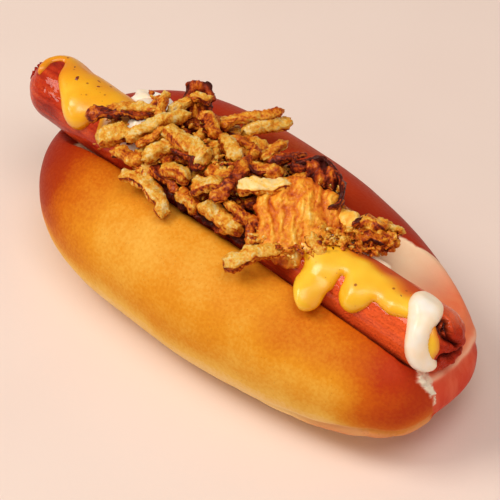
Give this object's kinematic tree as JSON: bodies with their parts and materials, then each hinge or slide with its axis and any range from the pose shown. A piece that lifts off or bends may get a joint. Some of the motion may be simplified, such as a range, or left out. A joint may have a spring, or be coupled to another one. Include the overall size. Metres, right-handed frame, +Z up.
{
  "type": "hot dog",
  "caption": "Long smoked sausage in a split soft bun, under yellow sauce, a ribbon of white sauce and a heap of fried onion straws; rests on the flat base of the bun.",
  "frame": {"origin": "centre of the bounding box, on the surface that the bun stands on", "axes": "+X along the bun from the tied end of the sausage to its puckered end, +Y from the lower front half of the bun to the higher back half, +Z up"},
  "size_m": [0.1886, 0.088, 0.0633],
  "materials": {
    "bun_crust": "satin golden-brown baked crust",
    "bun_crumb": "matte pale crumb of the cut face",
    "sausage_skin": "glossy wrinkled red-brown smoked skin",
    "yellow_sauce": "glossy smooth yellow sauce",
    "white_sauce": "glossy smooth cream-white sauce",
    "fried_batter": "rough golden to dark brown fried batter"
  },
  "bodies": {
    "root": {"bun": "bun_crust", "sausage": "sausage_skin", "fried_onions": "fried_batter"}
  },
  "joints": []
}
